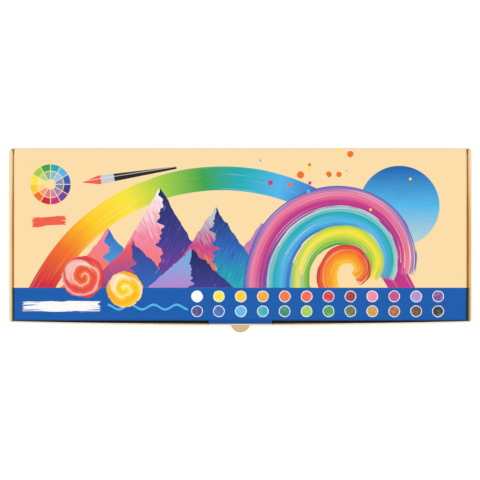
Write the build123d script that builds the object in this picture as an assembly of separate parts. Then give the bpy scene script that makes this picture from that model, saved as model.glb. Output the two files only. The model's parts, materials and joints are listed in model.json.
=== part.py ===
from build123d import *
import os
from math import cos, radians, sin

# Gouache paint box: a folded carton with rolled side walls and a tuck-front lid, packed with
# rows of capped paint jars.
# Frame: millimetres. The origin is the centre of the base's underside, +X runs along the long
# side to the right, +Y goes back to the lid's crease, and +Z is up. The lid is shut.
# The jars come first, because they set the size of the carton that is folded round them.

# Jars: moulded pots filled with paint, under push-on caps
jar_columns = 8
jar_rows = ["rear", "middle", "front"]
jar_height = 32.9        # foot to rim
cap_diameter = 35.8
cap_height = 8.5
cap_roof = 1.2           # thickness of the cap's flat top
cap_wall = 1.2           # thickness of its skirt, at the grip flats inside
grip_flat_count = 24     # flats inside the skirt, which grip the round rim
cap_fit = 0.1            # grip flat to jar rim
cap_spacing = 0.2        # from one cap to the next

# Room left round the block of jars
room_side = 3.4          # caps to side wall, where the lid's ears go down
room_front = 2.5         # caps to front wall, where the tuck flap goes down
room_rear = 1.0
room_top = 1.1           # caps to the lid's underside

# Board and folds
board = 0.9              # micro-fluted board, printed outside
bend_radius = 1.2        # outside of a folded edge
touch_gap = 0.1          # between boards that meet but aren't creased together

# Side walls: board rolled over the corner flaps and locked in the base
side_plies = 3           # outer wall, corner flap, inner wall
side_rear_setback = 1.4  # the wall's end stops short of the back wall's outer face
inner_end_gap = 0.5      # the inner wall's ends to the front and back walls
lock_tab_width = 26.0
lock_tab_spacing = 56.0
lock_gap = 0.1           # tab to slot, all round
corner_flap_length = 46.0
corner_flap_chamfer = 8.0
corner_flap_drop = 0.45  # its top edge lies this far under the start of the roll

# Front wall: single board, its free top edge bowed outwards, with a notch for the lid's lip
front_bow = 1.9
front_foot = 2.5         # straight height above the table, before the bow starts
front_top_drop = 0.1     # top edge under the lid's outer face
notch_gap = 0.3          # lip to the notch's sides
notch_floor_gap = 0.4    # lip's underside to the notch's floor
notch_radius = 1.0

# Lid, its lip and thumb tab
lid_side_gap = 0.6       # lid edge to side wall
lid_front_gap = 0.3      # lid edge to front wall
lid_corner_chamfer = 1.2
lip_width = 40.8
lip_reach = 2.6          # past the lid's front crease
thumb_radius = 6.3
thumb_reach = 5.05       # past the lip

# Flaps that are creased to the lid and go down inside the walls
crease_gap = 0.15        # a turning flap's edge to the lid's rounded edge
tuck_depth = 22.0        # crease to free edge
tuck_inset = 2.0         # each end lies this far inside the lid's edge
tuck_corner = 18.0
tuck_lean = 5.5          # degrees inwards when shut
cutout_gap = 0.3         # round the lip and tab, which are cut out of the tuck flap
ear_depth = 24.0
ear_front = 5.0          # tuck crease to the ear's front edge
ear_rear = 6.0           # back crease to the ear's rear corner, at its own crease
ear_slant = 25.0         # the rear edge runs this much further forward at the free edge
ear_corner = 10.0
ear_lean = 3.5           # degrees inwards when shut

# Places worked out from the sizes above
cap_radius = cap_diameter / 2
jar_radius = cap_radius - cap_wall - cap_fit
pitch = cap_diameter + cap_spacing
block_length = jar_columns * pitch - cap_spacing
block_depth = len(jar_rows) * pitch - cap_spacing

side_thickness = side_plies * board
half_length = block_length / 2 + room_side + side_thickness
half_depth = (block_depth + room_front + room_rear) / 2 + board
height = board + jar_height + cap_roof + room_top + board

base_half_x = half_length - bend_radius
base_half_y = half_depth - bend_radius
side_inner_x = half_length - side_thickness
corner_outer_x = half_length - board
wall_half_x = corner_outer_x - bend_radius
wall_inner_y = half_depth - board
side_rear_y = half_depth - side_rear_setback
side_front_y = -wall_inner_y + touch_gap
roll_radius = side_thickness / 2
roll_start_z = height - roll_radius

nose = board / 2
lid_half_x = side_inner_x - lid_side_gap
lid_front_y = -wall_inner_y + lid_front_gap
crease_z = height - nose
lid_underside_z = height - board
lid_crease_y = half_depth - nose
tuck_crease_y = lid_front_y + nose
ear_crease_x = lid_half_x - nose
lip_front_y = lid_front_y - lip_reach
thumb_centre_y = lip_front_y - thumb_reach + thumb_radius


def fold_section(reach):
    # Section of a board that leaves its neighbour at the origin, turns through the bend and
    # runs on until its free edge is at the given reach.
    centre = (0, bend_radius)
    inside = bend_radius - board
    outline = [
        CenterArc(centre, bend_radius, -90, 90),
        Line((bend_radius, bend_radius), (bend_radius, reach)),
        Line((bend_radius, reach), (inside, reach)),
        Line((inside, reach), (inside, bend_radius)),
        CenterArc(centre, inside, 0, -90),
        Line((0, board), (0, 0)),
    ]
    return make_face(Curve() + outline)


def folded_board(crease, outwards, onwards, reach, width):
    # A wall or flap with the bend that joins it to its neighbour: crease is the middle of the
    # crease line on the outer face.
    outwards = Vector(outwards)
    plane = Plane(crease, x_dir=outwards, z_dir=outwards.cross(Vector(onwards)))
    return extrude(plane * fold_section(reach), width / 2, both=True)


def flat_board(outline, plane):
    # A flat piece of board with the given outline, its mid-plane on the given plane.
    return extrude(plane * outline, board / 2, both=True)


def span(low, high):
    return high - low, (high + low) / 2


def base_panel():
    slot_length = lock_tab_width + 2 * lock_gap
    slot = Rectangle(board + 2 * lock_gap, slot_length)
    outline = Rectangle(2 * base_half_x, 2 * base_half_y)
    slot_x = side_inner_x + board / 2
    for side in (-1, 1):
        for end in (-1, 1):
            outline -= Pos(side * slot_x, end * lock_tab_spacing / 2) * slot
    return flat_board(outline, Plane.XY.offset(board / 2))


def back_wall():
    reach = lid_underside_z - touch_gap
    return folded_board((0, base_half_y, 0), (0, 1, 0), (0, 0, 1), reach, 2 * wall_half_x)


def bowed_edge():
    # The front wall's top edge, seen from above.
    ends = []
    for y in (-half_depth, -wall_inner_y):
        ends.append([(-wall_half_x, y), (0, y - front_bow), (wall_half_x, y)])
    outer, inner = ends
    edges = [
        ThreePointArc(*outer),
        Line(outer[2], inner[2]),
        ThreePointArc(*reversed(inner)),
        Line(inner[0], outer[0]),
    ]
    return make_face(Curve() + edges)


def front_wall():
    foot = folded_board((0, -base_half_y, 0), (0, -1, 0), (0, 0, 1), front_foot, 2 * wall_half_x)
    top_z = height - front_top_drop
    middle_y = -(half_depth + wall_inner_y) / 2
    straight_edge = Pos(0, middle_y, front_foot) * Rectangle(2 * wall_half_x, board)
    bowed = loft([straight_edge.face(), (Pos(0, 0, top_z) * bowed_edge()).face()], ruled=True)
    # The notch is cut from above, so its rounded rectangle reaches as far over the edge.
    notch_depth = top_z - (lid_underside_z - notch_floor_gap)
    notch = RectangleRounded(lip_width + 2 * notch_gap, 2 * notch_depth, notch_radius)
    cutter = extrude(Plane.XZ.offset(-middle_y) * Pos(0, top_z) * notch, front_bow + 2 * board, both=True)
    return foot + bowed - cutter


def outer_wall():
    width, middle = span(side_front_y, side_rear_y)
    return folded_board((base_half_x, middle, 0), (1, 0, 0), (0, 0, 1), roll_start_z, width)


def top_roll():
    # The board's half turn over the corner flaps, from the outer wall to the inner one.
    width, middle = span(side_front_y, side_rear_y)
    plane = Plane((half_length - roll_radius, middle, roll_start_z), x_dir=(1, 0, 0), z_dir=(0, -1, 0))
    ring = Circle(roll_radius) - Circle(roll_radius - board)
    upper = Pos(0, roll_radius) * Rectangle(2 * roll_radius, 2 * roll_radius)
    return extrude(plane * (ring & upper), width / 2, both=True)


def inner_wall():
    # It stands on the base, and its lock tabs go down through the base's slots.
    width = 2 * (wall_inner_y - inner_end_gap)
    tall, middle_z = span(board, roll_start_z)
    outline = Pos(0, middle_z) * Rectangle(width, tall)
    for end in (-1, 1):
        outline += Pos(end * lock_tab_spacing / 2, board / 2) * Rectangle(lock_tab_width, board)
    return flat_board(outline, Plane.YZ.offset(side_inner_x + board / 2))


def corner_flap(end):
    # A flap creased to the back wall (end 1) or the front wall (end -1), between the plies.
    low = bend_radius + touch_gap
    tall, middle_z = span(low, roll_start_z - corner_flap_drop)
    crease = (wall_half_x, end * half_depth, middle_z)
    flap = folded_board(crease, (1, 0, 0), (0, -end, 0), corner_flap_length, tall)
    free_y = end * (half_depth - corner_flap_length)
    corners = [edge for edge in flap.edges().filter_by(Axis.X) if abs(edge.center().Y - free_y) < nose]
    return chamfer(corners, corner_flap_chamfer)


def lip_outline(gap):
    # The lip and its thumb tab, from inside the lid's front crease forwards.
    deep, middle = span(lip_front_y - gap, tuck_crease_y)
    lip = Pos(0, middle) * Rectangle(lip_width + 2 * gap, deep)
    return lip + Pos(0, thumb_centre_y) * Circle(thumb_radius + gap)


def lid_panel():
    # Each edge is rounded about its own crease line, so nothing swings wide as it turns.
    deep, middle = span(tuck_crease_y, lid_crease_y)
    long_edges = SlotCenterToCenter(deep, board)
    side_edges = SlotCenterToCenter(2 * ear_crease_x, board)
    lid = extrude(Plane.YZ * Pos(middle, crease_z) * long_edges, lid_half_x, both=True)
    lid &= extrude(Plane.XZ * Pos(0, crease_z) * side_edges, 2 * half_depth, both=True)
    corner = Rectangle(2 * lid_corner_chamfer, 2 * lid_corner_chamfer, rotation=45)
    for side in (-1, 1):
        lid -= flat_board(
            Pos(side * lid_half_x, half_depth) * corner, Plane.XY.offset(crease_z)
        )
    lip_cut = lip_outline(0) - Pos(0, tuck_crease_y + thumb_radius) * Rectangle(lip_width, 2 * thumb_radius)
    return lid + flat_board(lip_cut, Plane.XY.offset(crease_z))


def tuck_flap():
    # Drawn with its crease line on Y = 0 and its free edge below.
    width = 2 * (lid_half_x - tuck_inset)
    top = -nose - crease_gap
    tall, middle = span(-tuck_depth, top)
    outline = Pos(0, middle) * Rectangle(width, tall)
    free_corners = outline.vertices().sort_by(Axis.Y)[:2]
    outline = fillet(free_corners, tuck_corner)
    outline -= Pos(0, -tuck_crease_y) * lip_outline(cutout_gap)
    lean = radians(tuck_lean)
    plane = Plane((0, tuck_crease_y, crease_z), x_dir=(1, 0, 0), z_dir=(0, -cos(lean), -sin(lean)))
    return flat_board(outline, plane)


def ear():
    # Drawn with Y of the box along X and its free edge below. The rear edge slants, so that
    # it is out of the box before the crease lets it spread.
    top = -nose - crease_gap
    front = tuck_crease_y + ear_front
    rear = lid_crease_y - ear_rear
    outline = Polygon(
        (front, top), (rear, top), (rear - ear_slant, -ear_depth), (front, -ear_depth), align=None
    )
    free_corners = outline.vertices().sort_by(Axis.Y)[:2]
    outline = fillet(free_corners, ear_corner)
    lean = radians(ear_lean)
    plane = Plane((ear_crease_x, 0, crease_z), x_dir=(0, 1, 0), z_dir=(cos(lean), 0, -sin(lean)))
    return flat_board(outline, plane)


def filled_jar():
    # The pot and the paint that fills it, as one body: nothing here takes the cap off.
    return extrude(Circle(jar_radius), jar_height)


def jar_cap():
    # It sits on the jar's rim, with its skirt round the rim.
    roof = Plane.XY.offset(jar_height + cap_roof)
    socket = RegularPolygon(jar_radius + cap_fit, grip_flat_count, major_radius=False)
    cap = extrude(roof * Circle(cap_radius), -cap_height)
    return cap - extrude(Plane.XY.offset(jar_height) * socket, cap_roof - cap_height)


def row_of(piece, row):
    # Copies of one piece along a row, standing on the base. Row 0 is the rear one.
    y = wall_inner_y - room_rear - cap_radius - row * pitch
    first_x = -(jar_columns - 1) * pitch / 2
    copies = []
    for column in range(jar_columns):
        copies.append(Pos(first_x + column * pitch, y, board) * piece)
    return Compound(children=copies)


pieces = {
    "base_panel": base_panel(),
    "back_wall": back_wall(),
    "front_wall": front_wall(),
    "lid_panel": lid_panel(),
    "tuck_flap": tuck_flap(),
}

# The right side is the left one's mirror image.
sided = {
    "outer_wall": outer_wall(),
    "top_roll": top_roll(),
    "inner_wall": inner_wall(),
    "rear_corner_flap": corner_flap(1),
    "front_corner_flap": corner_flap(-1),
    "ear": ear(),
}
for name, piece in sided.items():
    pieces["right_" + name] = piece
    pieces["left_" + name] = mirror(piece, about=Plane.YZ)

jar = filled_jar()
cap = jar_cap()
for row, name in enumerate(jar_rows):
    pieces[name + "_row_jars"] = row_of(jar, row)
    pieces[name + "_row_caps"] = row_of(cap, row)

os.makedirs("parts", exist_ok=True)
for name, piece in pieces.items():
    export_step(piece, "parts/" + name + ".step")
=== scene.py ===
import json
import math

import bmesh
import bpy
from mathutils import Matrix, Vector


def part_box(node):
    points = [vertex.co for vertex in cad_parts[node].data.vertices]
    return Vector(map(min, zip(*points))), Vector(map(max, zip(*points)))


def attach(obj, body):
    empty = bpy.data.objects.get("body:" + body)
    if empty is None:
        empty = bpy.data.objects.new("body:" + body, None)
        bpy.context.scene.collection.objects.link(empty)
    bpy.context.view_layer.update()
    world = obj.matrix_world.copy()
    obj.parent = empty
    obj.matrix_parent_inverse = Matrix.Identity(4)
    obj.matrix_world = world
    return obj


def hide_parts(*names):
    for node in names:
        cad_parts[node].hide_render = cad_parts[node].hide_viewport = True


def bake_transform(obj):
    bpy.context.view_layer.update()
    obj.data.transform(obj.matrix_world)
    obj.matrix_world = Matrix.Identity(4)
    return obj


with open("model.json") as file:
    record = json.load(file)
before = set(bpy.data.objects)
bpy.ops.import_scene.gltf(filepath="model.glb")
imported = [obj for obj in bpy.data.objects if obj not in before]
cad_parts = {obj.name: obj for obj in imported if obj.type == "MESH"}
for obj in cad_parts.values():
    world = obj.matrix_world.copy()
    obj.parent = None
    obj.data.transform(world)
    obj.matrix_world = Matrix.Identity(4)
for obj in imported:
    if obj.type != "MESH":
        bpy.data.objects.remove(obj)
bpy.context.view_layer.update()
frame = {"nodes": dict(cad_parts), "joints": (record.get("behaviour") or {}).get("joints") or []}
print("frame loaded:", len(frame["nodes"]), "nodes")

# Sizes are in millimetres, and become metres where a mesh or a node takes them
mm = 0.001


def boxOf(node):
    low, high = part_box(node)
    return low / mm, high / mm


_, lidHigh = boxOf("lid_panel")
baseLow, baseHigh = boxOf("base_panel")
_, backHigh = boxOf("back_wall")
frontLow, frontHigh = boxOf("front_wall")
rollLow, rollHigh = boxOf("right_top_roll")
_, tuckHigh = boxOf("tuck_flap")
earLow, earHigh = boxOf("right_ear")

board = baseHigh.z - baseLow.z
creaseAt = {joint["name"]: Vector(joint["pos_m"]) / mm for joint in frame["joints"]}


# Colours are written as they look on screen, 0 to 255
def colour(red, green, blue):
    return tuple((part / 255) ** 2.2 for part in (red, green, blue)) + (1.0,)


inks = {
    "cream": colour(250, 219, 166),
    "band": colour(14, 90, 170),
    # The next two blues are painted shade: the lip where it bends down, and the folds at the lid's sides
    # on the band
    "bandLipShade": colour(0, 74, 146),
    "bandFoldShade": colour(20, 52, 88),
    "white": colour(250, 249, 245),
    "lemon": colour(250, 228, 60),
    "yellow": colour(252, 200, 30),
    "amber": colour(248, 160, 28),
    "orange": colour(242, 110, 34),
    "coral": colour(240, 92, 70),
    "red": colour(207, 38, 57),
    "crimson": colour(160, 26, 58),
    "pink": colour(240, 130, 160),
    "magenta": colour(196, 52, 130),
    "lilac": colour(176, 132, 200),
    "violet": colour(122, 62, 152),
    "indigo": colour(58, 58, 140),
    "navy": colour(28, 34, 84),
    "blue": colour(44, 98, 184),
    "sky": colour(81, 180, 232),
    "pale": colour(186, 212, 211),
    "turquoise": colour(23, 170, 180),
    "emerald": colour(16, 136, 110),
    "lime": colour(158, 204, 70),
    "green": colour(62, 160, 72),
    "olive": colour(96, 108, 48),
    "ochre": colour(206, 150, 58),
    "sienna": colour(168, 88, 44),
    "brown": colour(104, 60, 38),
    "black": colour(30, 29, 32),
    "steel": colour(196, 202, 208),
}
papers = {
    "kraft": colour(208, 180, 136),
    "fibre": colour(176, 144, 102),
    "pulp": colour(228, 206, 168),
    "edge": colour(248, 228, 188),
    # The next colour is painted shade in the flute hollows of a cut edge
    "fluteHollowShade": colour(196, 166, 122),
    # The next five colours, for the folds, are partly painted light: the browns and the near-black stand
    # in for shade in the creases, the palest for a highlight on the rear fold and the amber for bounce
    # light in the gap beside the lid; the rest of them is rubbed print
    "scuffAndShade": colour(185, 128, 44),
    "rubbed": colour(213, 171, 128),
    "fadedAndHighlit": colour(241, 217, 184),
    "worn": colour(244, 190, 112),
    "shade": colour(88, 84, 66),
}
rainbow = [
    "red", "orange", "yellow", "lemon", "lime", "green", "turquoise",
    "sky", "blue", "indigo", "violet", "magenta",
]
paintRows = {
    "rear": ["white", "lemon", "yellow", "amber", "orange", "coral", "red", "crimson"],
    "middle": ["pink", "magenta", "lilac", "violet", "indigo", "blue", "sky", "turquoise"],
    "front": ["emerald", "lime", "green", "olive", "ochre", "sienna", "brown", "black"],
}


# A number that varies over a surface, with plain arithmetic on it
class Field:
    def __init__(self, tree, socket):
        self.tree = tree
        self.socket = socket

    def calc(self, operation, *others):
        node = self.tree.nodes.new("ShaderNodeMath")
        node.operation = operation
        for value, place in zip((self, *others), node.inputs):
            if isinstance(value, Field):
                self.tree.links.new(value.socket, place)
            else:
                place.default_value = value
        return Field(self.tree, node.outputs[0])

    def __add__(self, other):
        return self.calc("ADD", other)

    def __sub__(self, other):
        return self.calc("SUBTRACT", other)

    def __mul__(self, other):
        return self.calc("MULTIPLY", other)

    __rmul__ = __mul__

    def __truediv__(self, other):
        return self.calc("DIVIDE", other)

    def __neg__(self):
        return self.calc("MULTIPLY", -1)

    def size(self):
        return self.calc("ABSOLUTE")

    def smaller(self, other):
        return self.calc("MINIMUM", other)

    def larger(self, other):
        return self.calc("MAXIMUM", other)

    # 1 where the field is under the edge and 0 where it is over, with a soft step between
    def under(self, edge, soft=0.1):
        node = self.tree.nodes.new("ShaderNodeMapRange")
        node.inputs["From Min"].default_value = edge + soft
        node.inputs["From Max"].default_value = edge - soft
        self.tree.links.new(self.socket, node.inputs["Value"])
        return Field(self.tree, node.outputs["Result"])

    def over(self, edge, soft=0.1):
        return self.under(edge, soft) * -1 + 1


# A sheet of nodes under way: where it is on the piece, in millimetres, and which way the face looks
class Page:
    def __init__(self, tree):
        self.tree = tree
        self.coordinates = tree.nodes.new("ShaderNodeTexCoord")
        self.x, self.y, self.z = (part / mm for part in self.split("Object"))
        self.faceX, self.faceY, self.faceZ = self.split("Normal")

    def split(self, name):
        node = self.tree.nodes.new("ShaderNodeSeparateXYZ")
        self.tree.links.new(self.coordinates.outputs[name], node.inputs[0])
        return [Field(self.tree, output) for output in node.outputs]

    # The piece's own coordinates divided by a size for each direction, turned about Z before that
    def scaled(self, sizes, turn=0.0, seed=0.0):
        node = self.tree.nodes.new("ShaderNodeMapping")
        node.vector_type = "TEXTURE"
        node.inputs["Location"].default_value = (0, 0, seed)
        node.inputs["Rotation"].default_value = (0, 0, math.radians(turn))
        node.inputs["Scale"].default_value = [size * mm for size in sizes]
        self.tree.links.new(self.coordinates.outputs["Object"], node.inputs["Vector"])
        return node.outputs[0]

    # The same for two fields of a picture's own
    def joined(self, fields, sizes, seed=0.0):
        node = self.tree.nodes.new("ShaderNodeCombineXYZ")
        node.inputs[2].default_value = seed
        for field, size, place in zip(fields, sizes, node.inputs):
            self.tree.links.new((field / size).socket, place)
        return node.outputs[0]

    # Noise from about -0.5 to 0.5, with spots of the given size along each direction
    def noise(self, *sizes, at=None, turn=0.0, seed=0.0, detail=2.0):
        node = self.tree.nodes.new("ShaderNodeTexNoise")
        node.inputs["Scale"].default_value = 1.0
        node.inputs["Detail"].default_value = detail
        place = self.joined(at, sizes, seed) if at else self.scaled(sizes, turn, seed)
        self.tree.links.new(place, node.inputs["Vector"])
        return Field(self.tree, node.outputs[0]) - 0.5

    # A tint, or a colour socket, laid over another where the mask is 1
    def lay(self, below, above, mask):
        node = self.tree.nodes.new("ShaderNodeMix")
        node.data_type = "RGBA"
        for value, place in ((below, node.inputs[6]), (above, node.inputs[7])):
            if isinstance(value, tuple):
                place.default_value = value
            else:
                self.tree.links.new(value, place)
        if isinstance(mask, Field):
            self.tree.links.new(mask.socket, node.inputs[0])
        else:
            node.inputs[0].default_value = mask
        return node.outputs[2]

    # Tints spread evenly along a field that goes from 0 to 1, blended or in steps
    def tints(self, field, names, steps=False):
        node = self.tree.nodes.new("ShaderNodeValToRGB")
        band = node.color_ramp
        band.interpolation = "CONSTANT" if steps else "LINEAR"
        last = len(names) if steps else len(names) - 1
        for index, name in enumerate(names):
            stop = band.elements[index] if index < 2 else band.elements.new(index / last)
            stop.position = index / last
            stop.color = inks[name]
        self.tree.links.new(field.socket, node.inputs[0])
        return node.outputs[0]

    # Lays one motif over the picture so far, as a group of its own that bears the motif's name
    def motif(self, picture, draw, *looks):
        group = bpy.data.node_groups.new(draw.__name__, "ShaderNodeTree")
        group.interface.new_socket("Ground", in_out="INPUT", socket_type="NodeSocketColor")
        group.interface.new_socket("Picture", in_out="OUTPUT", socket_type="NodeSocketColor")
        entry = group.nodes.new("NodeGroupInput")
        result = group.nodes.new("NodeGroupOutput")
        group.links.new(draw(Page(group), entry.outputs[0], *looks), result.inputs[0])
        node = self.tree.nodes.new("ShaderNodeGroup")
        node.node_tree = group
        if isinstance(picture, tuple):
            node.inputs[0].default_value = picture
        else:
            self.tree.links.new(picture, node.inputs[0])
        return node.outputs[0]


class Finish(Page):
    def __init__(self, name):
        self.material = bpy.data.materials.new(name)
        self.material.use_nodes = True
        self.material.node_tree.nodes.clear()
        super().__init__(self.material.node_tree)
        self.shader = self.tree.nodes.new("ShaderNodeBsdfPrincipled")
        output = self.tree.nodes.new("ShaderNodeOutputMaterial")
        self.tree.links.new(self.shader.outputs["BSDF"], output.inputs["Surface"])

    def relief(self, height, depth):
        node = self.tree.nodes.new("ShaderNodeBump")
        node.inputs["Strength"].default_value = 1.0
        node.inputs["Distance"].default_value = depth * mm
        self.tree.links.new(height.socket, node.inputs["Height"])
        self.tree.links.new(node.outputs[0], self.shader.inputs["Normal"])

    def done(self, tint, roughness, **settings):
        self.tree.links.new(tint, self.shader.inputs["Base Color"])
        self.tree.links.new(roughness.socket, self.shader.inputs["Roughness"])
        for name, value in settings.items():
            self.shader.inputs[name.replace("_", " ")].default_value = value
        return self.material


# Distance from a centre, and the direction as on a clock: 0 upwards, growing to the right
def about(across, up, centre):
    right = across - centre[0]
    high = up - centre[1]
    far = (right * right + high * high).calc("SQRT")
    return far, right.calc("ARCTAN2", high)


# Places measured along and across a line through a centre, turned by some degrees
def turned(across, up, centre, degrees):
    right = across - centre[0]
    high = up - centre[1]
    c, s = math.cos(math.radians(degrees)), math.sin(math.radians(degrees))
    return right * c + high * s, high * c - right * s


# How a loaded brush paints
bristles = {
    "hair": 0.9,  # width of a streak
    "ragged": 3.0,  # how far the sides fray
    "dry": 26.0,  # how far the ends fray
    "wander": 6.0,
    "worn": 0.55,  # how much the paint gives out towards the ends
    "spare": 0.06,  # and how much is left there
    "mixed": 0.3,  # how far the tints run into each other
    "sheen": 5.0,
    "shade": 3.5,
}


# One pull of the brush, measured along and across from its middle. The noise is given as a
# function of the size of its spots along and across and of a seed.
def brushStroke(page, ground, along, across, look, noise):
    long, wide, seed = look["length"], look["width"], look["seed"]
    hairs = noise(long * 0.5, look["hair"], seed)
    side = across + noise(long * 0.3, wide, seed + 9) * look["wander"]
    inside = (side.size() - hairs * look["ragged"]).under(wide / 2)
    inside = inside * (along.size() - hairs * look["dry"]).under(long / 2)
    worn = look["worn"]
    inside = inside * (hairs + along.size() / long * worn).under(worn / 2 + look["spare"], 0.03)
    tint = page.tints(side / wide + hairs * look["mixed"] + 0.5, look["tints"])
    tint = page.lay(tint, inks["white"], ((hairs - 0.1) * look["sheen"]).larger(0.0))
    tint = page.lay(tint, inks["navy"], ((-hairs - 0.12) * look["shade"]).larger(0.0))
    return page.lay(ground, tint, inside)


# Rows of round dabs, one for each paint in the box, along X
def paintChart(page, ground, look):
    up = getattr(page, look["up"])
    columns, pitch = look["columns"], look["pitch"]
    start = look["middle"] - columns * pitch / 2
    count = ((page.x - start) / pitch).calc("FLOOR")
    right = page.x - start - (count + 0.5) * pitch
    wobble = page.noise(2.6, 2.6, 2.6) * look["wobble"]
    wash = page.noise(2.5, 2.5, 2.5, seed=7.0)
    inside = count.over(-0.5) * count.under(columns - 0.5)
    names = [name for row in paintRows.values() for name in row]
    for line, height in enumerate(look["heights"]):
        high = up - height
        far = (right * right + high * high).calc("SQRT") + wobble
        row = names[line * columns:(line + 1) * columns]
        tint = page.tints((count + 0.5) / columns, row, steps=True)
        tint = page.lay(tint, inks["white"], wash.larger(0.0) * 0.7 + 0.04)
        ground = page.lay(ground, inks["white"], far.under(look["radius"] + look["rim"]) * inside)
        ground = page.lay(ground, tint, far.under(look["radius"]) * inside)
    return ground


# Drops flung from a brush: each cell of the pattern holds one, of its own size and tint
def spatter(page, ground, look):
    cells = page.tree.nodes.new("ShaderNodeTexVoronoi")
    cells.inputs["Scale"].default_value = 1.0
    page.tree.links.new(page.scaled([look["cell"]] * 3), cells.inputs["Vector"])
    parts = page.tree.nodes.new("ShaderNodeSeparateColor")
    page.tree.links.new(cells.outputs["Color"], parts.inputs[0])
    chance, hue, _ = (Field(page.tree, output) for output in parts.outputs)
    far = Field(page.tree, cells.outputs["Distance"]) * look["cell"]
    reach, _ = about(page.x, getattr(page, look["up"]), look["centre"])
    drop = far - (chance - look["bare"]).larger(0.0) * look["drop"] + reach * look["fade"]
    tint = page.tints(hue, look["tints"], steps=True)
    return page.lay(ground, tint, drop.under(0.0))


# Raw brown liner: cloudy, with short fibres both lighter and darker that lie all ways
def kraftPaper(page, ground):
    cloud = page.noise(16, 16, 16)
    fibre = page.noise(0.25, 1.9, 0.7, turn=33, detail=4.0)
    cross = page.noise(0.25, 1.5, 0.5, turn=-52, seed=5.0, detail=4.0)
    tint = page.lay(ground, papers["fibre"], (cloud * 0.9 + fibre * 1.3).larger(0.0))
    return page.lay(tint, papers["pulp"], (-fibre * 0.8 - cross).larger(0.0) * 1.4)


# The wavy sheet inside the board, and the half thickness of its lines where an edge is cut
fluting = {"pitch": 1.5, "height": 0.26, "sheet": 0.1, "liner": 0.2}


# A cut edge, where the flutes show between the two liners. The hollows between the wavy sheet and the
# liners are painted darker, as shade.
def flutedEdge(page, along, across):
    wave = (along * (2 * math.pi / fluting["pitch"])).calc("SINE") * fluting["height"]
    sheet = (across - wave).size().under(fluting["sheet"], 0.04)
    liners = across.size().over(board / 2 - fluting["liner"], 0.04)
    tint = page.lay(papers["fluteHollowShade"], papers["edge"], sheet.larger(liners))
    return page.lay(tint, papers["fibre"], page.noise(0.4, 0.4, 0.4).larger(0.0))


# How the board's surface stands up and shines
liner = {
    "grain": 0.6,  # width of its pits
    "depth": 0.05,
    "flutes": 0.12,  # share of that depth by which the flutes show through
    "rough": 0.74,
    "varnish": 0.2,  # how much smoother the print is
    "shine": 0.15,
}


# Board with print on one liner. The masks say where the print is and where an edge is cut.
def boardFinish(page, picture, printed, edge, cut, flutesAcross):
    kraft = page.motif(papers["kraft"], kraftPaper)
    pit = liner["grain"]
    grain = page.noise(pit, pit, pit, detail=5.0)
    picture = page.lay(picture, inks["white"], (grain - 0.17).larger(0.0) * 0.4)
    tint = page.lay(page.lay(kraft, picture, printed), edge, cut)
    ridges = (flutesAcross * (2 * math.pi / fluting["pitch"])).calc("SINE")
    whole = -1 * cut + 1
    page.relief(grain * 0.7 + ridges * whole * liner["flutes"], liner["depth"])
    roughness = page.noise(6, 6, 6) * 0.14 + liner["rough"] - printed * whole * liner["varnish"]
    return page.done(tint, roughness, Specular_IOR_Level=liner["shine"])


# The picture on the lid: a painted rainbow over mountains, beside a curl of colour. The blue band
# is given by the Y of its top, of the lip's bend, of its end and of where the bare tab begins.
bandPrint = {"top": -33.95, "bend": -54.45, "end": -57.45, "lip": -57.95}
arch = {
    "centre": (-12, -94), "radius": 131, "width": 15.5, "spread": 2.15,
    "smear": (0.3, 1.6), "ragged": 1.2, "mixed": 0.05, "sheen": 1.4,
}
disc = {"centre": (103, 19), "radius": 26, "streaks": (14, 1.4, 1), "mixed": 0.12}
# How the mountains are painted, then where they stand
rock = {
    "crags": (5, 7, 1), "craggy": 6, "ridge": (35, 5, 1), "winding": 15, "settled": 12, "broken": 3,
    "strokes": (0.9, 10, 1), "slant": 26, "mixed": 0.8, "bare": 0.17, "sheen": 3,
}
peaks = [
    {"at": -86, "top": 4, "slope": 1.25, "lit": ["pink", "orange"], "shade": ["blue", "sky"]},
    {"at": 14, "top": 8, "slope": 1.3, "lit": ["lilac", "coral"], "shade": ["indigo", "sky"]},
    {
        "at": -52, "top": 31, "slope": 1.7,
        "lit": ["white", "pink", "orange"], "shade": ["navy", "indigo", "violet"],
    },
    {
        "at": -16, "top": 18, "slope": 1.45,
        "lit": ["pale", "magenta", "amber"], "shade": ["navy", "blue", "turquoise"],
    },
    {"at": -70, "top": -4, "slope": 1.0, "lit": ["coral", "violet"], "shade": ["indigo", "blue"]},
    {"at": -32, "top": -9, "slope": 0.9, "lit": ["sky", "lilac"], "shade": ["navy", "indigo"]},
]
curlCentre = (72, -24)
curls = [
    {
        "radius": 48, "rise": 9, "width": 15, "from": -112, "to": 92,
        "tints": ["violet", "magenta", "pink", "blue"],
    },
    {
        "radius": 35, "rise": 8, "width": 13, "from": -118, "to": 100,
        "tints": ["blue", "sky", "turquoise", "pale"],
    },
    {
        "radius": 23, "rise": 6, "width": 12, "from": -125, "to": 108,
        "tints": ["green", "lime", "lemon", "lime"],
    },
    {
        "radius": 11, "rise": 3, "width": 13, "from": -150, "to": 150,
        "tints": ["yellow", "amber", "orange", "red"],
    },
]
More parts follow.
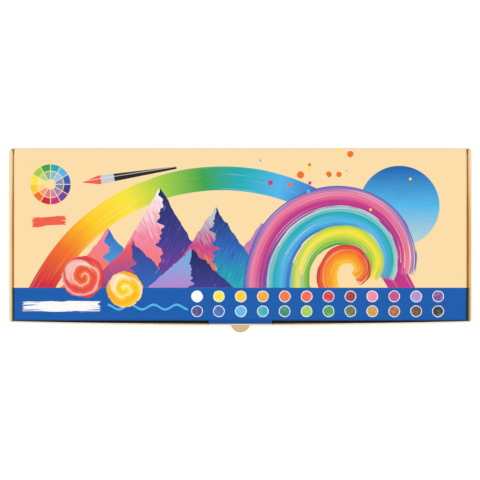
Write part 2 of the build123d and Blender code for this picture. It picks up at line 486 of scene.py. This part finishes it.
# How the dabs are stirred, then where they lie
stirred = {
    "swirl": (9, 5), "wander": 5, "turns": 0.95, "mixed": 1.6, "bumps": (6, 6, 1), "uneven": 4,
    "deep": 0.6, "crest": 0.9, "light": 0.5, "lightAt": (-2.5, 3.0), "lightSize": (0.55, 0.62),
}
dabs = [
    {"centre": (-102, -27), "radius": 13.5, "tints": ["orange", "coral", "red"], "seed": 4.0},
    {"centre": (-75, -35), "radius": 11.5, "tints": ["lemon", "yellow", "amber"], "seed": 14.0},
]
wheel = {
    "centre": (-123, 33), "radius": 13, "pale": 8.6, "hole": 3.4, "gap": 0.5,
    "thinned": 0.2, "tints": rainbow,
}
brush = {
    "centre": (-72, 39), "turn": 9, "half": 31, "hair": 0.2, "ferrule": 0.34,
    "belly": 0.26, "taper": 0.04, "tip": 0.8,
}
coralStroke = {
    **bristles, "centre": (-124, 9), "turn": 4, "length": 22, "width": 6, "dry": 8.0, "wander": 1.5,
    "sheen": 1.0, "shade": 0.5, "tints": ["coral", "coral"], "seed": 41.0,
}
whiteStroke = {
    **bristles, "centre": (-116, -46), "turn": 0, "length": 50, "width": 6.5, "dry": 9.0,
    "wander": 1.5, "ragged": 2.0, "sheen": 0.0, "shade": 0.4, "tints": ["white", "white"], "seed": 51.0,
}
ripple = {"centre": (-60, -46.5), "half": 26, "height": 1.5, "wave": 15.0, "thick": 1.5}
lidChart = {
    "up": "y", "columns": 12, "pitch": 14.2, "middle": 50, "heights": (-39.6, -49.2),
    "radius": 3.3, "rim": 0.45, "wobble": 0.8,
}
lidSpatter = {
    "up": "y", "centre": (58, 42), "cell": 6.5, "bare": 0.45, "drop": 6.0, "fade": 0.04,
    "tints": ["orange", "magenta", "sky", "lemon", "green", "violet"],
}


def rainbowArch(page, ground, look):
    far, way = about(page.x, page.y, look["centre"])
    smear = page.noise(*look["smear"], at=(way, far), seed=6.0, detail=3.0)
    ribbon = (far - look["radius"] + smear * look["ragged"]).size().under(look["width"] / 2)
    tint = page.tints(way / look["spread"] + 0.5 + smear * look["mixed"], rainbow)
    tint = page.lay(tint, inks["white"], (smear - 0.1).larger(0.0) * look["sheen"])
    return page.lay(ground, tint, ribbon)


def skyDisc(page, ground, look):
    far, _ = about(page.x, page.y, look["centre"])
    down = (-page.y + look["centre"][1]) / (2 * look["radius"]) + 0.5
    down = down + page.noise(*look["streaks"]) * look["mixed"]
    return page.lay(ground, page.tints(down, ["band", "sky", "pale"]), far.under(look["radius"]))


# A mountain in short slanting strokes, lit from the left, with a ridge that winds down its middle
def mountain(page, ground, peak):
    foot = bandPrint["top"]
    right = page.x - peak["at"]
    down = -page.y + peak["top"]
    crags = page.noise(*rock["crags"], seed=peak["at"])
    ridge = page.noise(*rock["ridge"], seed=peak["at"], detail=1.0)
    slants = (-rock["slant"], rock["slant"])
    shaded, lit = [page.noise(*rock["strokes"], turn=turn, seed=peak["at"]) for turn in slants]
    inside = (right.size() * peak["slope"] - down + crags * rock["craggy"]).under(0.0, 0.2)
    winding = ridge * rock["winding"] * (down / rock["settled"]).smaller(1.0)
    sunny = (right + winding + crags * rock["broken"]).under(0.0, 0.15)
    streaks = shaded + (lit - shaded) * sunny
    fall = down / (peak["top"] - foot) + streaks * rock["mixed"]
    tint = page.lay(page.tints(fall, peak["shade"]), page.tints(fall, peak["lit"]), sunny)
    tint = page.lay(tint, inks["white"], (streaks - rock["bare"]).larger(0.0) * rock["sheen"])
    return page.lay(ground, tint, inside * page.y.over(foot))


def curl(page, ground, look):
    far, way = about(page.x, page.y, curlCentre)
    start, end = math.radians(look["from"]), math.radians(look["to"])
    along = (way - (start + end) / 2) * look["radius"]
    across = far - look["radius"] + way * look["rise"]
    length = (end - start) * look["radius"]
    stroke = {**bristles, **look, "length": length, "seed": look["radius"]}

    def noise(long, wide, seed):
        return page.noise(long, wide, at=(along, across), seed=seed)

    return brushStroke(page, ground, along, across, stroke, noise)


# Thick paint stirred into a spiral of furrows, with a crescent of light on its upper left
def paintDab(page, ground, dab):
    far, way = about(page.x, page.y, dab["centre"])
    swirl = page.noise(*stirred["swirl"], at=(far + way * 4, way * 2.0), seed=dab["seed"])
    rim = far + page.noise(*stirred["bumps"]) * stirred["uneven"]
    furrow = (far * stirred["turns"] - way + swirl * stirred["wander"]).calc("SINE")
    tint = page.tints(rim / dab["radius"] * 0.8 + swirl * stirred["mixed"], dab["tints"])
    tint = page.lay(tint, inks[dab["tints"][-1]], (-furrow - 0.2).larger(0.0) * stirred["deep"])
    tint = page.lay(tint, inks["white"], (furrow - 0.55).larger(0.0) * stirred["crest"])
    spot = Vector(dab["centre"]) + Vector(stirred["lightAt"])
    hollow, reach = stirred["lightSize"]
    lit, _ = about(page.x, page.y, spot)
    crescent = (lit + swirl * 7).under(dab["radius"] * reach, 0.8)
    crescent = crescent * (far + swirl * 9).over(dab["radius"] * hollow, 1.2)
    tint = page.lay(tint, inks["white"], crescent * stirred["light"])
    return page.lay(ground, tint, rim.under(dab["radius"]))


# Wedges of every tint, the inner half of each thinned with white
def colourWheel(page, ground, look):
    far, way = about(page.x, page.y, look["centre"])
    count = len(look["tints"])
    share = way / (2 * math.pi) + 0.5
    wedge = share * count
    beside = (wedge - wedge.calc("FLOOR") - 0.5).size() * -1 + 0.5
    inside = (beside * far * (2 * math.pi / count)).over(look["gap"] / 2)
    inside = inside * far.under(look["radius"]) * far.over(look["hole"])
    inside = inside * (far - look["pale"]).size().over(look["gap"] / 2)
    tint = page.tints(share, look["tints"], steps=True)
    tint = page.lay(tint, inks["white"], far.under(look["pale"]) * look["thinned"])
    return page.lay(ground, tint, inside)


def paintBrush(page, ground, look):
    along, across = turned(page.x, page.y, look["centre"], look["turn"])
    half = look["half"]
    belly = (along + half) * look["belly"]
    handle = (-along + half) * look["taper"] + look["tip"]
    inside = (across.size() - belly.smaller(handle)).under(0.0) * along.size().under(half)
    share = (along + half) / (2 * half)
    tint = page.lay(inks["coral"], inks["steel"], share.over(look["hair"], 0.004))
    tint = page.lay(tint, inks["black"], share.over(look["ferrule"], 0.004))
    tint = page.lay(tint, inks["white"], (across - 0.7).size().under(0.25, 0.15) * 0.5)
    return page.lay(ground, tint, inside)


def straightStroke(page, ground, look):
    along, across = turned(page.x, page.y, look["centre"], look["turn"])

    def noise(long, wide, seed):
        return page.noise(long, wide, 1, turn=look["turn"], seed=seed)

    return brushStroke(page, ground, along, across, look, noise)


def rippleLine(page, ground, look):
    right = page.x - look["centre"][0]
    sway = (right * (2 * math.pi / look["wave"])).calc("SINE") * look["height"]
    line = (page.y - look["centre"][1] - sway).size().under(look["thick"] / 2)
    return page.lay(ground, inks["sky"], line * right.size().under(look["half"]))


# The blue band runs on over the lip, which bends down a little, and stops short of its edge. Where the
# lip bends down it is painted a darker blue, as shade.
def blueBand(page, ground, look):
    ground = page.lay(ground, inks["band"], page.y.under(look["top"]))
    ground = page.lay(ground, inks["bandLipShade"], page.y.under(look["bend"], 0.6) * 0.75)
    return page.lay(ground, papers["edge"], page.y.under(look["end"]))


# The motifs in the order in which they lie on each other
def lidPicture(page):
    motifs = [(skyDisc, disc), (rainbowArch, arch)]
    motifs += [(mountain, peak) for peak in peaks]
    motifs += [(curl, look) for look in curls]
    motifs += [(colourWheel, wheel), (straightStroke, coralStroke), (paintBrush, brush)]
    motifs += [(spatter, lidSpatter), (blueBand, bandPrint), (paintChart, lidChart)]
    motifs += [(straightStroke, whiteStroke), (rippleLine, ripple)]
    motifs += [(paintDab, dab) for dab in dabs]
    picture = inks["cream"]
    for draw, look in motifs:
        picture = page.motif(picture, draw, look)
    return picture


# How much the folds at the lid's two sides are browned, as rubbed print and painted shade, and how far
# in from each edge
foldRubAndShade = {
    "left": 0.15, "right": 1.2, "width": 0.5, "soft": 0.3, "patches": (3, 14, 3), "worn": 0.8,
    "rear": 0.7,
}


# Where the board is folded the print is rubbed, and light and shade are painted on it too: paler at the
# rear, as wear and a painted highlight on the rounded fold;
# browner at the sides of the cream, as rubbed print and painted shade; nearly black on the band, as
# painted shade
def rubbedAndShadedFolds(page, ground):
    ground = page.lay(ground, papers["fadedAndHighlit"], page.y.over(lidHigh.y - foldRubAndShade["rear"], foldRubAndShade["soft"]))
    side = page.x.over(0.0) * (foldRubAndShade["right"] - foldRubAndShade["left"]) + foldRubAndShade["left"]
    fold = page.x.size().over(lidHigh.x - foldRubAndShade["width"], foldRubAndShade["soft"])
    fold = fold * side * (page.noise(*foldRubAndShade["patches"]) + foldRubAndShade["worn"])
    ground = page.lay(ground, papers["rubbed"], fold * page.y.over(bandPrint["top"]))
    return page.lay(ground, inks["bandFoldShade"], fold * page.y.under(bandPrint["top"]))


# Only the lip and tab have cut edges: the lid's others are folded. The tab is bare board.
def lidFinish():
    page = Finish("lidPrint")
    picture = page.motif(lidPicture(page), rubbedAndShadedFolds)
    tab = page.motif(papers["kraft"], kraftPaper)
    picture = page.lay(picture, tab, page.y.under(bandPrint["lip"]))
    printed = page.faceZ.over(-0.5)
    front = creaseAt["tuck_crease"].y - board / 2
    cut = page.faceZ.size().under(0.6) * page.y.under(front - 0.1)
    edge = flutedEdge(page, page.x + page.y, page.z - creaseAt["lid_hinge"].z)
    return boardFinish(page, picture, printed, edge, cut, page.x)


# The walls: a long rainbow stroke in front, shorter ones at the sides, a chart behind
wallStroke = {
    **bristles, "height": 20.5, "width": 13, "hair": 0.8, "tints": rainbow, "dry": 30.0, "wander": 3.0,
}
frontStroke = {**wallStroke, "along": "x", "length": 214, "seed": 61.0}
sideStroke = {**wallStroke, "along": "y", "length": 74, "seed": 71.0, "tints": rainbow[6:]}
frontSpatter = {**lidSpatter, "up": "z", "cell": 7.0, "fade": 0.045, "centre": (118, 22)}
backChart = {
    "up": "z", "columns": 12, "pitch": 21.5, "middle": 0, "heights": (25.0, 13.0),
    "radius": 4.4, "rim": 0.0, "wobble": 1.0,
}
wallFoot = 5.5  # height of the blue foot


def wallGround(page):
    return page.lay(inks["cream"], inks["band"], page.z.under(wallFoot))


# A stroke that runs along a wall, and hardly changes through its board
def wallPaint(page, ground, look):
    through = 99

    def noise(long, wide, seed):
        sizes = (long, through, wide) if look["along"] == "x" else (through, long, wide)
        return page.noise(*sizes, seed=seed)

    along = getattr(page, look["along"])
    return brushStroke(page, ground, along, page.z - look["height"], look, noise)


# Print lies on a wall's outer face and round the fold at its foot
def printedSide(page, outwards):
    return outwards.over(0.2).larger(page.faceZ.under(-0.2))


# The front wall's cut edge follows its bow
def frontWallFinish():
    page = Finish("frontWallPrint")
    picture = page.motif(wallGround(page), wallPaint, frontStroke)
    picture = page.motif(picture, spatter, frontSpatter)
    printed = printedSide(page, -page.faceY)
    cut = page.faceZ.over(0.7).larger(page.faceX.size().over(0.7))
    bow = (page.x * page.x) * ((-backHigh.y - frontLow.y) / frontHigh.x ** 2)
    across = page.y - frontLow.y - board / 2 + bow
    return boardFinish(page, picture, printed, flutedEdge(page, page.x, across), cut, page.x)


def backWallFinish():
    page = Finish("backWallPrint")
    picture = page.motif(wallGround(page), paintChart, backChart)
    printed = printedSide(page, page.faceY)
    cut = page.faceZ.over(0.7).larger(page.faceX.size().over(0.7))
    edge = flutedEdge(page, page.x, page.y - backHigh.y + board / 2)
    return boardFinish(page, picture, printed, edge, cut, page.x)


def sideWallFinish():
    page = Finish("sideWallPrint")
    picture = page.motif(wallGround(page), wallPaint, sideStroke)
    printed = printedSide(page, page.faceX * page.x / page.x.size())
    edge = flutedEdge(page, page.z, page.x.size() - rollHigh.x + board / 2)
    return boardFinish(page, picture, printed, edge, page.faceY.size().over(0.7), page.z)


# The print on the rolled tops browns towards the inner fold, as creased print and as painted shade where
# the roll turns down into the gap beside the lid; on the band it goes nearly black, as painted shade.
# It is lighter at the rear than in front, and turns back to cream sooner on the left.
rollWearAndShade = {
    "left": 2.3, "right": 1.35, "rearLighter": 0.27, "frontDarker": 0.5, "from": 48, "over": 38,
    "patches": (1.5, 12, 1.5), "uneven": 0.3,
}


def topRollFinish():
    page = Finish("topRollPrintAndShade")
    outwards = (page.x.size() - rollLow.x) / (rollHigh.x - rollLow.x)
    slope = page.x.over(0.0) * (rollWearAndShade["right"] - rollWearAndShade["left"]) + rollWearAndShade["left"]
    forwards = ((-page.y + rollWearAndShade["from"]) / rollWearAndShade["over"]).larger(0.0).smaller(1.0)
    rub = page.noise(*rollWearAndShade["patches"]) * rollWearAndShade["uneven"] + rollWearAndShade["rearLighter"]
    creamShare = outwards * slope - forwards * rollWearAndShade["frontDarker"] + rub
    # The fold's colour: amber-brown on the cream and nearly black on the band, each partly painted shade
    fold = page.lay(papers["scuffAndShade"], papers["shade"], page.y.under(bandPrint["top"]))
    picture = page.lay(fold, inks["cream"], creamShare)
    middle = ((rollLow.x + rollHigh.x) / 2, rollLow.z)
    far, way = about(page.x.size(), page.z, middle)
    radius = (rollHigh.x - rollLow.x) / 2 - board / 2
    edge = flutedEdge(page, way * radius, far - radius)
    cut = page.faceY.size().over(0.7)
    return boardFinish(page, picture, far.over(radius), edge, cut, way * radius)


bleed = {"wall": 6, "flap": 4, "base": 4}  # how far print goes on past a fold


# Kraft boards: the print stops at the given height
def kraftFinish(name, flutes="x", printEnd=None, ink=inks["cream"]):
    page = Finish(name)
    printed = page.z.over(printEnd, 0.3) if printEnd else 0.0
    return boardFinish(page, ink, printed, papers["edge"], 0.0, getattr(page, flutes))


# The creases at the lid's sides are rubbed all along. On the cream they are amber, as rubbed print
# painted lighter as bounce light in the gap beside the lid; on the band they are painted nearly black,
# as shade.
def foldFinish():
    page = Finish("foldPrintAndShade")
    picture = page.lay(papers["worn"], inks["bandFoldShade"], page.y.under(bandPrint["top"]))
    return boardFinish(page, picture, 1.0, papers["edge"], 0.0, page.y)


# Under the base, the walls' blue comes round the folds for a few millimetres
def baseFinish():
    page = Finish("baseBoard")
    rim = page.x.size().over(baseHigh.x - bleed["base"], 0.3)
    rim = rim.larger(page.y.size().over(baseHigh.y - bleed["base"], 0.3))
    printed = rim * page.faceZ.under(-0.5)
    return boardFinish(page, inks["band"], printed, papers["edge"], 0.0, page.x)


def dress(material, *names):
    for name in names:
        mesh = frame["nodes"][name].data
        mesh.materials.clear()
        mesh.materials.append(material)


dress(lidFinish(), "lid_panel")
dress(frontWallFinish(), "front_wall")
dress(backWallFinish(), "back_wall")
dress(sideWallFinish(), "left_outer_wall", "right_outer_wall")
dress(topRollFinish(), "left_top_roll", "right_top_roll")
dress(baseFinish(), "base_panel")
innerWall = kraftFinish("innerWallBoard", "z", rollLow.z - bleed["wall"])
dress(innerWall, "left_inner_wall", "right_inner_wall")
corners = [side + end + "_corner_flap" for side in ("left_", "right_") for end in ("front", "rear")]
dress(kraftFinish("cornerFlapBoard", "y"), *corners)
dress(kraftFinish("tuckFlapBoard", "x", tuckHigh.z - bleed["flap"], inks["band"]), "tuck_flap")
dress(kraftFinish("earBoard", "z", earHigh.z - bleed["flap"]), "left_ear", "right_ear")
print("board finished")


# A shape turned about Z from its section, given as radius and height
def turnedShape(section, rounding, steps):
    shape = bmesh.new()
    corners = [shape.verts.new((radius * mm, 0, height * mm)) for radius, height in section]
    for first, second in zip(corners, corners[1:]):
        shape.edges.new((first, second))
    bmesh.ops.bevel(
        shape, geom=corners[1:-1], offset=rounding * mm, segments=2,
        affect="VERTICES", profile=0.5, material=-1,
    )
    bmesh.ops.spin(
        shape, geom=shape.verts[:] + shape.edges[:], cent=(0, 0, 0), axis=(0, 0, 1),
        angle=2 * math.pi, steps=steps, use_merge=True,
    )
    bmesh.ops.remove_doubles(shape, verts=shape.verts, dist=0.01 * mm)
    bmesh.ops.recalc_face_normals(shape, faces=shape.faces)
    return shape


# The shape is repeated along a row of jars, over the places that the frame gives
def alongRow(shape, row):
    low, high = boxOf(row + "_row_caps")
    reach = (high.y - low.y) / 2
    count = len(paintRows[row])
    pitch = (high.x - low.x - 2 * reach) / (count - 1)
    place = Vector((low.x + reach, low.y + reach, baseHigh.z))
    bmesh.ops.translate(shape, verts=shape.verts, vec=place * mm)
    first = shape.verts[:] + shape.edges[:] + shape.faces[:]
    for column in range(1, count):
        copy = bmesh.ops.duplicate(shape, geom=first)["geom"]
        verts = [part for part in copy if isinstance(part, bmesh.types.BMVert)]
        bmesh.ops.translate(shape, verts=verts, vec=(column * pitch * mm, 0, 0))
    return shape


def madePiece(name, shape, material):
    mesh = bpy.data.meshes.new(name)
    shape.to_mesh(mesh)
    shape.free()
    mesh.materials.append(material)
    mesh.shade_smooth()
    mesh.set_sharp_from_angle(angle=math.radians(40))
    piece = bpy.data.objects.new(name, mesh)
    bpy.context.scene.collection.objects.link(piece)
    return piece


jarLow, jarHigh = boxOf("front_row_jars")
capLow, capHigh = boxOf("front_row_caps")
jar = {
    "radius": (jarHigh.y - jarLow.y) / 2,
    "height": jarHigh.z - jarLow.z,
    "wall": 0.9,
    "floor": 1.2,
    "hollow": 0.6,  # height of the hollow under the floor
    "foot": (0.6, 1.8, 2.5),  # the ring on which it stands, measured inwards from the side
    "heel": 0.7,
    "taper": 0.7,
    "ringDrop": 9.2,  # from the rim down to the stop ring
    "ring": 1.2,
    "underRing": (0.25, 0.4),  # the ring's slope below, in depth and height
    "neck": 0.3,  # how far the neck lies behind the ring and the rim
    "rim": 0.5,
    "lip": 0.1,
    "mouth": (0.2, 0.3, 1.0),  # the rim's thickness over the wall, at its top and foot, and height
    "fillet": 0.8,  # inside, between wall and floor
    "rounding": 0.15,
    "steps": 64,
    "shows": 0.86,  # how much the paint shows through
    "haze": 0.1,
    "rough": 0.28,
}
cap = {
    "radius": (capHigh.y - capLow.y) / 2,
    "top": capHigh.z - baseHigh.z,
    "height": capHigh.z - capLow.z,
    "roof": capHigh.z - jarHigh.z,
    "gap": 0.12,
    "rim": 2.4,
    "edge": 0.6,
    "step": 0.5,  # how far the top is sunk inside its rim
    "ring": (3.7, 4.2, 5.0, 5.5),  # a raised ring, measured inwards from that rim
    "raised": 0.22,
    "bead": (1.0, 1.3),  # heights over the foot at which the ribs begin
    "ribs": 72,
    "ribDepth": 0.34,
    "rounding": 0.12,
    "haze": 0.03,
    "cloudy": 0.04,
    "rough": 0.36,
}
paint = {
    "gap": 0.05,
    "level": 26.5,
    "corner": 1.0,
    "side": 0.45,  # how far the fill's upper edge lies inside the wall at its widest
    "meniscus": (0, 0.5, 2.0),  # inwards from that edge
    "rise": (1.4, 0.84, 0.2),  # over the level, at these three places
    "rounding": 0.2,
    "pale": 0.5,
    "waves": 0.6,
    "rough": 0.36,
}


# A pot: recessed foot, tapered body, stop ring under the cap, neck and rounded rim
def jarShape():
    radius, top, floor = jar["radius"], jar["height"], jar["floor"]
    base = radius - jar["taper"]
    outer, middle, inner = [base - inwards for inwards in jar["foot"]]
    ring = top - jar["ringDrop"]
    ringFoot = ring - jar["ring"]
    slope, drop = jar["underRing"]
    neck = radius - jar["neck"]
    rim = top - jar["rim"]
    inside = radius - jar["wall"]
    mouth, mouthFoot, mouthDepth = jar["mouth"]
    bottom = base - jar["wall"]
    section = [
        (0, jar["hollow"]), (inner, jar["hollow"]), (middle, 0), (outer, 0), (base, jar["heel"]),
        (radius - slope, ringFoot - drop), (radius, ringFoot), (radius, ring),
        (neck, ring + jar["neck"]), (neck, rim - jar["neck"]), (radius, rim), (radius - jar["lip"], top),
        (inside - mouth, top), (inside - mouthFoot, top - mouthDepth),
        (bottom, floor + jar["fillet"]), (bottom - jar["fillet"], floor), (0, floor),
    ]
    return turnedShape(section, jar["rounding"], jar["steps"])


# The fill stands a little higher where it wets the wall
def paintShape():
    inside = jar["radius"] - jar["taper"] - jar["wall"] - paint["gap"]
    upper = jar["radius"] - jar["wall"] - paint["side"]
    low = jar["floor"] + paint["gap"]
    corner, level = paint["corner"], paint["level"]
    section = [(0, low), (inside - corner, low), (inside, low + corner)]
    for inwards, rise in zip(paint["meniscus"], paint["rise"]):
        section.append((upper - inwards, level + rise))
    section.append((0, level))
    return turnedShape(section, paint["rounding"], jar["steps"])


# A cap: sunk top inside a raised rim, ribbed skirt with a bead at its foot
def capShape():
    radius, top, edge = cap["radius"], cap["top"], cap["edge"]
    foot = top - cap["height"]
    under = top - cap["roof"]
    bore = jar["radius"] + cap["gap"]
    rim = radius - cap["rim"]
    sunk = top - cap["step"]
    raised = sunk + cap["raised"]
    outer, outerTop, innerTop, inner = [rim - inwards for inwards in cap["ring"]]
    beadLow, beadHigh = cap["bead"]
    section = [
        (0, sunk), (inner, sunk), (innerTop, raised), (outerTop, raised), (outer, sunk),
        (rim - cap["step"], sunk), (rim, top), (radius - edge, top), (radius, top - edge),
        (radius, foot + beadHigh), (radius, foot + beadLow), (radius, foot),
        (bore, foot), (bore, under), (0, under),
    ]
    shape = turnedShape(section, cap["rounding"], cap["ribs"] * 2)
    ribLow = foot + (beadLow + beadHigh) / 2
    ribHigh = top - edge - cap["rounding"] / 2
    ribs = []
    for vert in shape.verts:
        far = math.hypot(vert.co.x, vert.co.y) / mm
        turn = round(math.atan2(vert.co.y, vert.co.x) / math.pi * cap["ribs"])
        if far > radius - 0.05 and ribLow < vert.co.z / mm < ribHigh and turn % 2:
            ribs.append(vert)
    share = 1 - cap["ribDepth"] / radius
    bmesh.ops.scale(shape, vec=(share, share, 1), verts=ribs)
    return shape


# The paint's tint at each jar of a row
def rowTints(page, row):
    low, high = boxOf(row + "_row_caps")
    share = (page.x - low.x) / (high.x - low.x)
    return page.tints(share, paintRows[row], steps=True)


# Milky plastic with the paint showing through where it stands against the wall
def jarFinish(row):
    page = Finish(row + "JarPlastic")
    full = page.z.under(baseHigh.z + paint["level"] + 1.0, 1.0)
    tint = page.lay(papers["pulp"], rowTints(page, row), full * jar["shows"])
    tint = page.lay(tint, inks["white"], jar["haze"])
    page.relief(page.noise(1.2, 1.2, 4.0), 0.02)
    roughness = page.noise(5, 5, 5) * 0.2 + jar["rough"]
    return page.done(tint, roughness, Coat_Weight=0.3, Coat_Roughness=0.2)


def capFinish(row):
    page = Finish(row + "CapPlastic")
    cloud = page.noise(9, 9, 9)
    rubbed = page.noise(0.5, 4.0, 1.0, detail=4.0)
    tint = page.lay(rowTints(page, row), inks["white"], cloud * cap["cloudy"] + cap["haze"])
    page.relief(page.noise(0.8, 0.8, 0.8), 0.01)
    roughness = rubbed * 0.2 + cap["rough"]
    return page.done(tint, roughness, Specular_IOR_Level=0.4, Coat_Weight=0.12, Coat_Roughness=0.15)


def paintFinish(row):
    page = Finish(row + "Gouache")
    waves = page.noise(7, 3, 9, detail=4.0)
    tint = page.lay(rowTints(page, row), inks["white"], waves.larger(0.0) * paint["pale"])
    page.relief(waves, paint["waves"])
    return page.done(tint, page.noise(4, 4, 4) * 0.3 + paint["rough"])


for row in paintRows:
    shell = madePiece(row + "_row_pots", alongRow(jarShape(), row), jarFinish(row))
    fill = madePiece(row + "_row_paint", alongRow(paintShape(), row), paintFinish(row))
    top = madePiece(row + "_row_lids", alongRow(capShape(), row), capFinish(row))
    for piece in (shell, fill, top):
        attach(piece, "tray")
    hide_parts(row + "_row_jars")
    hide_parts(row + "_row_jars")
    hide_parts(row + "_row_caps")
print("jars filled and capped")

# The folded liner at each crease, which keeps a wall or flap joined to the lid. Those at the
# sides bulge past the lid's edge by a little.
crease = {
    "thick": 0.4,
    "deep": 0.9,
    "layers": 6,
    "round": 0.15,
    "bulge": 0.3,
    "end": 0.3,  # left free at each end
    "backEnd": 2.0,  # the same at the back
    "pastEar": 2.7,  # how far the fold goes on behind an ear
    "lip": 21.2,  # half the width of the lip, which parts the crease in front
    "tuckLean": 5.5,
    "earLean": 3.5,
    "rest": (0.1, 0.15),  # lengths up into the lid and down into the flap, from the middle of the crease
}


def creaseStrip(name, start, end, down, material):
    start, end, down = Vector(start), Vector(end), Vector(down)
    long = end - start
    shape = bmesh.new()
    bmesh.ops.create_cube(shape, size=1.0)
    bmesh.ops.scale(shape, vec=(long.length, crease["thick"], crease["deep"]), verts=shape.verts)
    lengthwise = [edge for edge in shape.edges if edge.calc_length() > crease["deep"] * 2]
    bmesh.ops.bevel(
        shape, geom=lengthwise, affect="EDGES", offset=crease["round"], segments=3,
        profile=0.5, material=-1,
    )
    for layer in range(1, crease["layers"]):
        height = (layer / crease["layers"] - 0.5) * (crease["deep"] - 2 * crease["round"])
        everything = shape.verts[:] + shape.edges[:] + shape.faces[:]
        bmesh.ops.bisect_plane(shape, geom=everything, plane_co=(0, 0, height), plane_no=(0, 0, 1))
    axes = Matrix((long.normalized(), long.normalized().cross(down), -down)).transposed()
    bmesh.ops.transform(shape, matrix=axes.to_4x4(), verts=shape.verts)
    middle = (start + end) / 2 + down * (board / 2)
    bmesh.ops.translate(shape, vec=middle, verts=shape.verts)
    bmesh.ops.scale(shape, vec=(mm, mm, mm), verts=shape.verts)
    bmesh.ops.recalc_face_normals(shape, faces=shape.faces)
    strip = madePiece(name, shape, material)
    above, below = crease["rest"]
    (middle - down * above) * mm
    (middle + down * below) * mm
    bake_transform(strip)


# Downwards along a flap that leans by some degrees to the given side
def leaning(towards, degrees):
    lean = math.radians(degrees)
    return Vector(towards) * math.sin(lean) - Vector((0, 0, math.cos(lean)))


cream = kraftFinish("creasePrint", "x", rollLow.z - bleed["wall"])
fold = foldFinish()
kraft = kraftFinish("creaseLiner")
_, y, z = creaseAt["lid_hinge"]
reach = lidHigh.x - crease["backEnd"]
creaseStrip(
    "back_crease", (-reach, y, z), (reach, y, z), (0, 0, -1), cream
)
for side, name in ((-1, "left"), (1, "right")):
    _, y, z = creaseAt["tuck_crease"]
    start, end = (side * crease["lip"], y, z), (side * (tuckHigh.x - crease["end"]), y, z)
    down = leaning((0, 1, 0), crease["tuckLean"])
    creaseStrip(name + "_tuck_crease", start, end, down, kraft)

    x, _, z = creaseAt[name + "_ear_crease"]
    x += side * (board / 2 + crease["bulge"] - crease["thick"] / 2)
    start, end = (x, earLow.y + crease["end"], z), (x, earHigh.y + crease["pastEar"], z)
    down = leaning((-side, 0, 0), crease["earLean"])
    creaseStrip(name + "_side_crease", start, end, down, fold)
print("creases joined")


light = {"sky": 0.7, "lamp": 9.0, "lampSize": 1.2, "lampHeight": 1.6}
tableLook = {"size": 6.0, "lift": 0.38, "grey": (0.9, 0.9, 0.9, 1)}


# White table and backdrop: as white as paper to the camera, and it keeps the box's shadow
def tableFinish():
    material = bpy.data.materials.new("whiteTable")
    material.use_nodes = True
    tree = material.node_tree
    tree.nodes.clear()
    matt = tree.nodes.new("ShaderNodeBsdfDiffuse")
    matt.inputs["Color"].default_value = tableLook["grey"]
    lift = tree.nodes.new("ShaderNodeEmission")
    rays = tree.nodes.new("ShaderNodeLightPath")
    kinds = ("Is Camera Ray", "Is Glossy Ray", "Is Transmission Ray")
    seen, mirrored, through = (Field(tree, rays.outputs[kind]) for kind in kinds)
    strength = seen.larger(mirrored).larger(through) * tableLook["lift"]
    tree.links.new(strength.socket, lift.inputs["Strength"])
    both = tree.nodes.new("ShaderNodeAddShader")
    output = tree.nodes.new("ShaderNodeOutputMaterial")
    tree.links.new(matt.outputs[0], both.inputs[0])
    tree.links.new(lift.outputs[0], both.inputs[1])
    tree.links.new(both.outputs[0], output.inputs["Surface"])
    return material


floorMesh = bpy.data.meshes.new("table")
floorShape = bmesh.new()
bmesh.ops.create_grid(floorShape, x_segments=1, y_segments=1, size=tableLook["size"] / 2)
floorShape.to_mesh(floorMesh)
floorShape.free()
floorMesh.materials.append(tableFinish())
table = bpy.data.objects.new("table", floorMesh)
bpy.context.scene.collection.objects.link(table)

world = bpy.data.worlds.new("studio")
world.use_nodes = True
background = world.node_tree.nodes["Background"]
background.inputs["Color"].default_value = (1, 1, 1, 1)
rays = world.node_tree.nodes.new("ShaderNodeLightPath")
seen = Field(world.node_tree, rays.outputs["Is Camera Ray"])
strength = seen * (1 - light["sky"]) + light["sky"]
world.node_tree.links.new(strength.socket, background.inputs["Strength"])
bpy.context.scene.world = world

lamp = bpy.data.objects.new("softbox", bpy.data.lights.new("softbox", "AREA"))
lamp.data.shape = "SQUARE"
lamp.data.size = light["lampSize"]
lamp.data.energy = light["lamp"]
lamp.location = (0, 0, light["lampHeight"])
bpy.context.scene.collection.objects.link(lamp)

# The camera looks straight down, a long way off, with the lid's plane framed as in the picture
view = {"lens": 100.0, "sensor": 36.0, "frameWidth": 311.0, "middle": (-0.25, -3.05)}
camera = bpy.data.objects.new("camera", bpy.data.cameras.new("camera"))
camera.data.lens = view["lens"]
camera.data.sensor_width = view["sensor"]
camera.data.clip_start = 0.01
distance = view["frameWidth"] * view["lens"] / view["sensor"]
camera.location = Vector((*view["middle"], lidHigh.z + distance)) * mm
bpy.context.scene.collection.objects.link(camera)
bpy.context.scene.camera = camera
bpy.context.scene.view_settings.view_transform = "Standard"
print("table, light and camera set")
